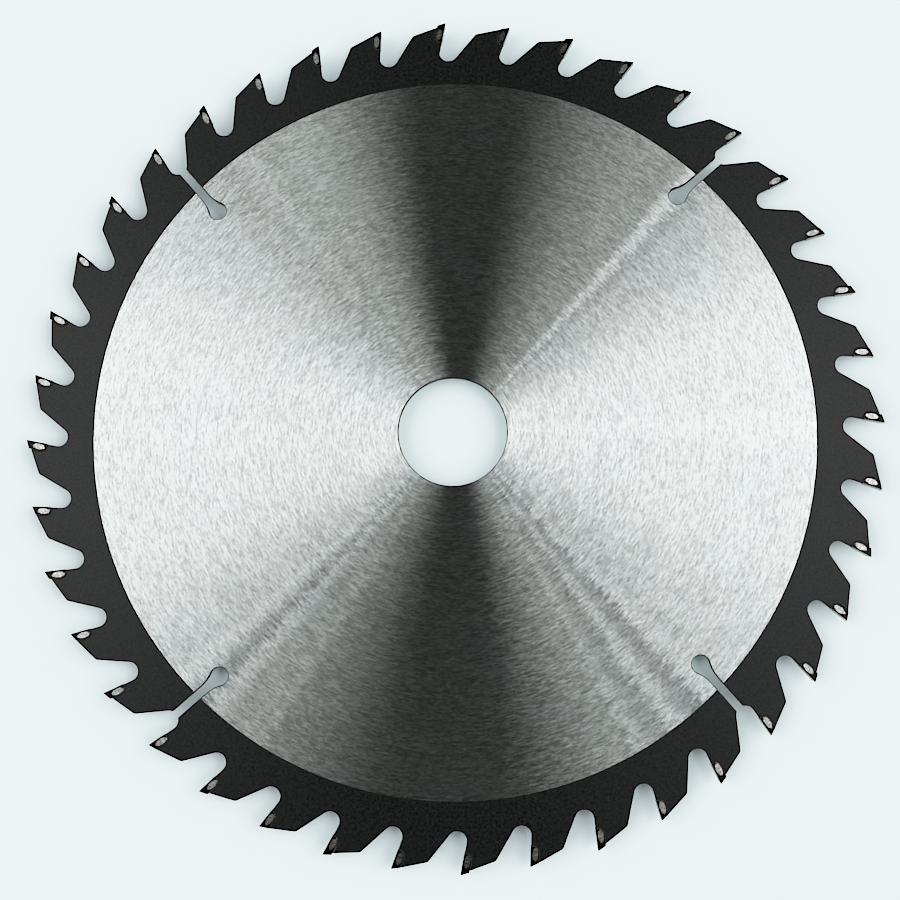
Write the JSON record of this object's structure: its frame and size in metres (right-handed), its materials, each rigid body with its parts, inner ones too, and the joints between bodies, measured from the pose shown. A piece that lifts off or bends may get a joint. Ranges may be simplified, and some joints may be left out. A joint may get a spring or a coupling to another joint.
{
  "type": "circular saw blade",
  "caption": "Flat circular saw blade with a round bore, keyhole expansion slots and carbide tips brazed into hooked teeth with alternate bevels.",
  "frame": {"origin": "centre of the bore, half way through the plate", "axes": "+Z along the bore's axis out of the face that the picture shows; +X through the cutting point of tip_01; seen from +Z the blade cuts clockwise"},
  "size_m": [0.2, 0.2, 0.0022],
  "materials": {
    "coated_steel": "bright steel with a circular grain, under a satin black coat from 168.6 mm diameter outwards",
    "carbide": "ground tungsten carbide, dull grey"
  },
  "bodies": {
    "root": {"blade_body": "coated_steel", "tip_01": "carbide", "tip_02": "carbide", "tip_03": "carbide", "tip_04": "carbide", "tip_05": "carbide", "tip_06": "carbide", "tip_07": "carbide", "tip_08": "carbide", "tip_09": "carbide", "tip_10": "carbide", "tip_11": "carbide", "tip_12": "carbide", "tip_13": "carbide", "tip_14": "carbide", "tip_15": "carbide", "tip_16": "carbide", "tip_17": "carbide", "tip_18": "carbide", "tip_19": "carbide", "tip_20": "carbide", "tip_21": "carbide", "tip_22": "carbide", "tip_23": "carbide", "tip_24": "carbide", "tip_25": "carbide", "tip_26": "carbide", "tip_27": "carbide", "tip_28": "carbide", "tip_29": "carbide", "tip_30": "carbide", "tip_31": "carbide", "tip_32": "carbide", "tip_33": "carbide", "tip_34": "carbide", "tip_35": "carbide", "tip_36": "carbide", "tip_37": "carbide", "tip_38": "carbide", "tip_39": "carbide", "tip_40": "carbide"}
  },
  "joints": []
}
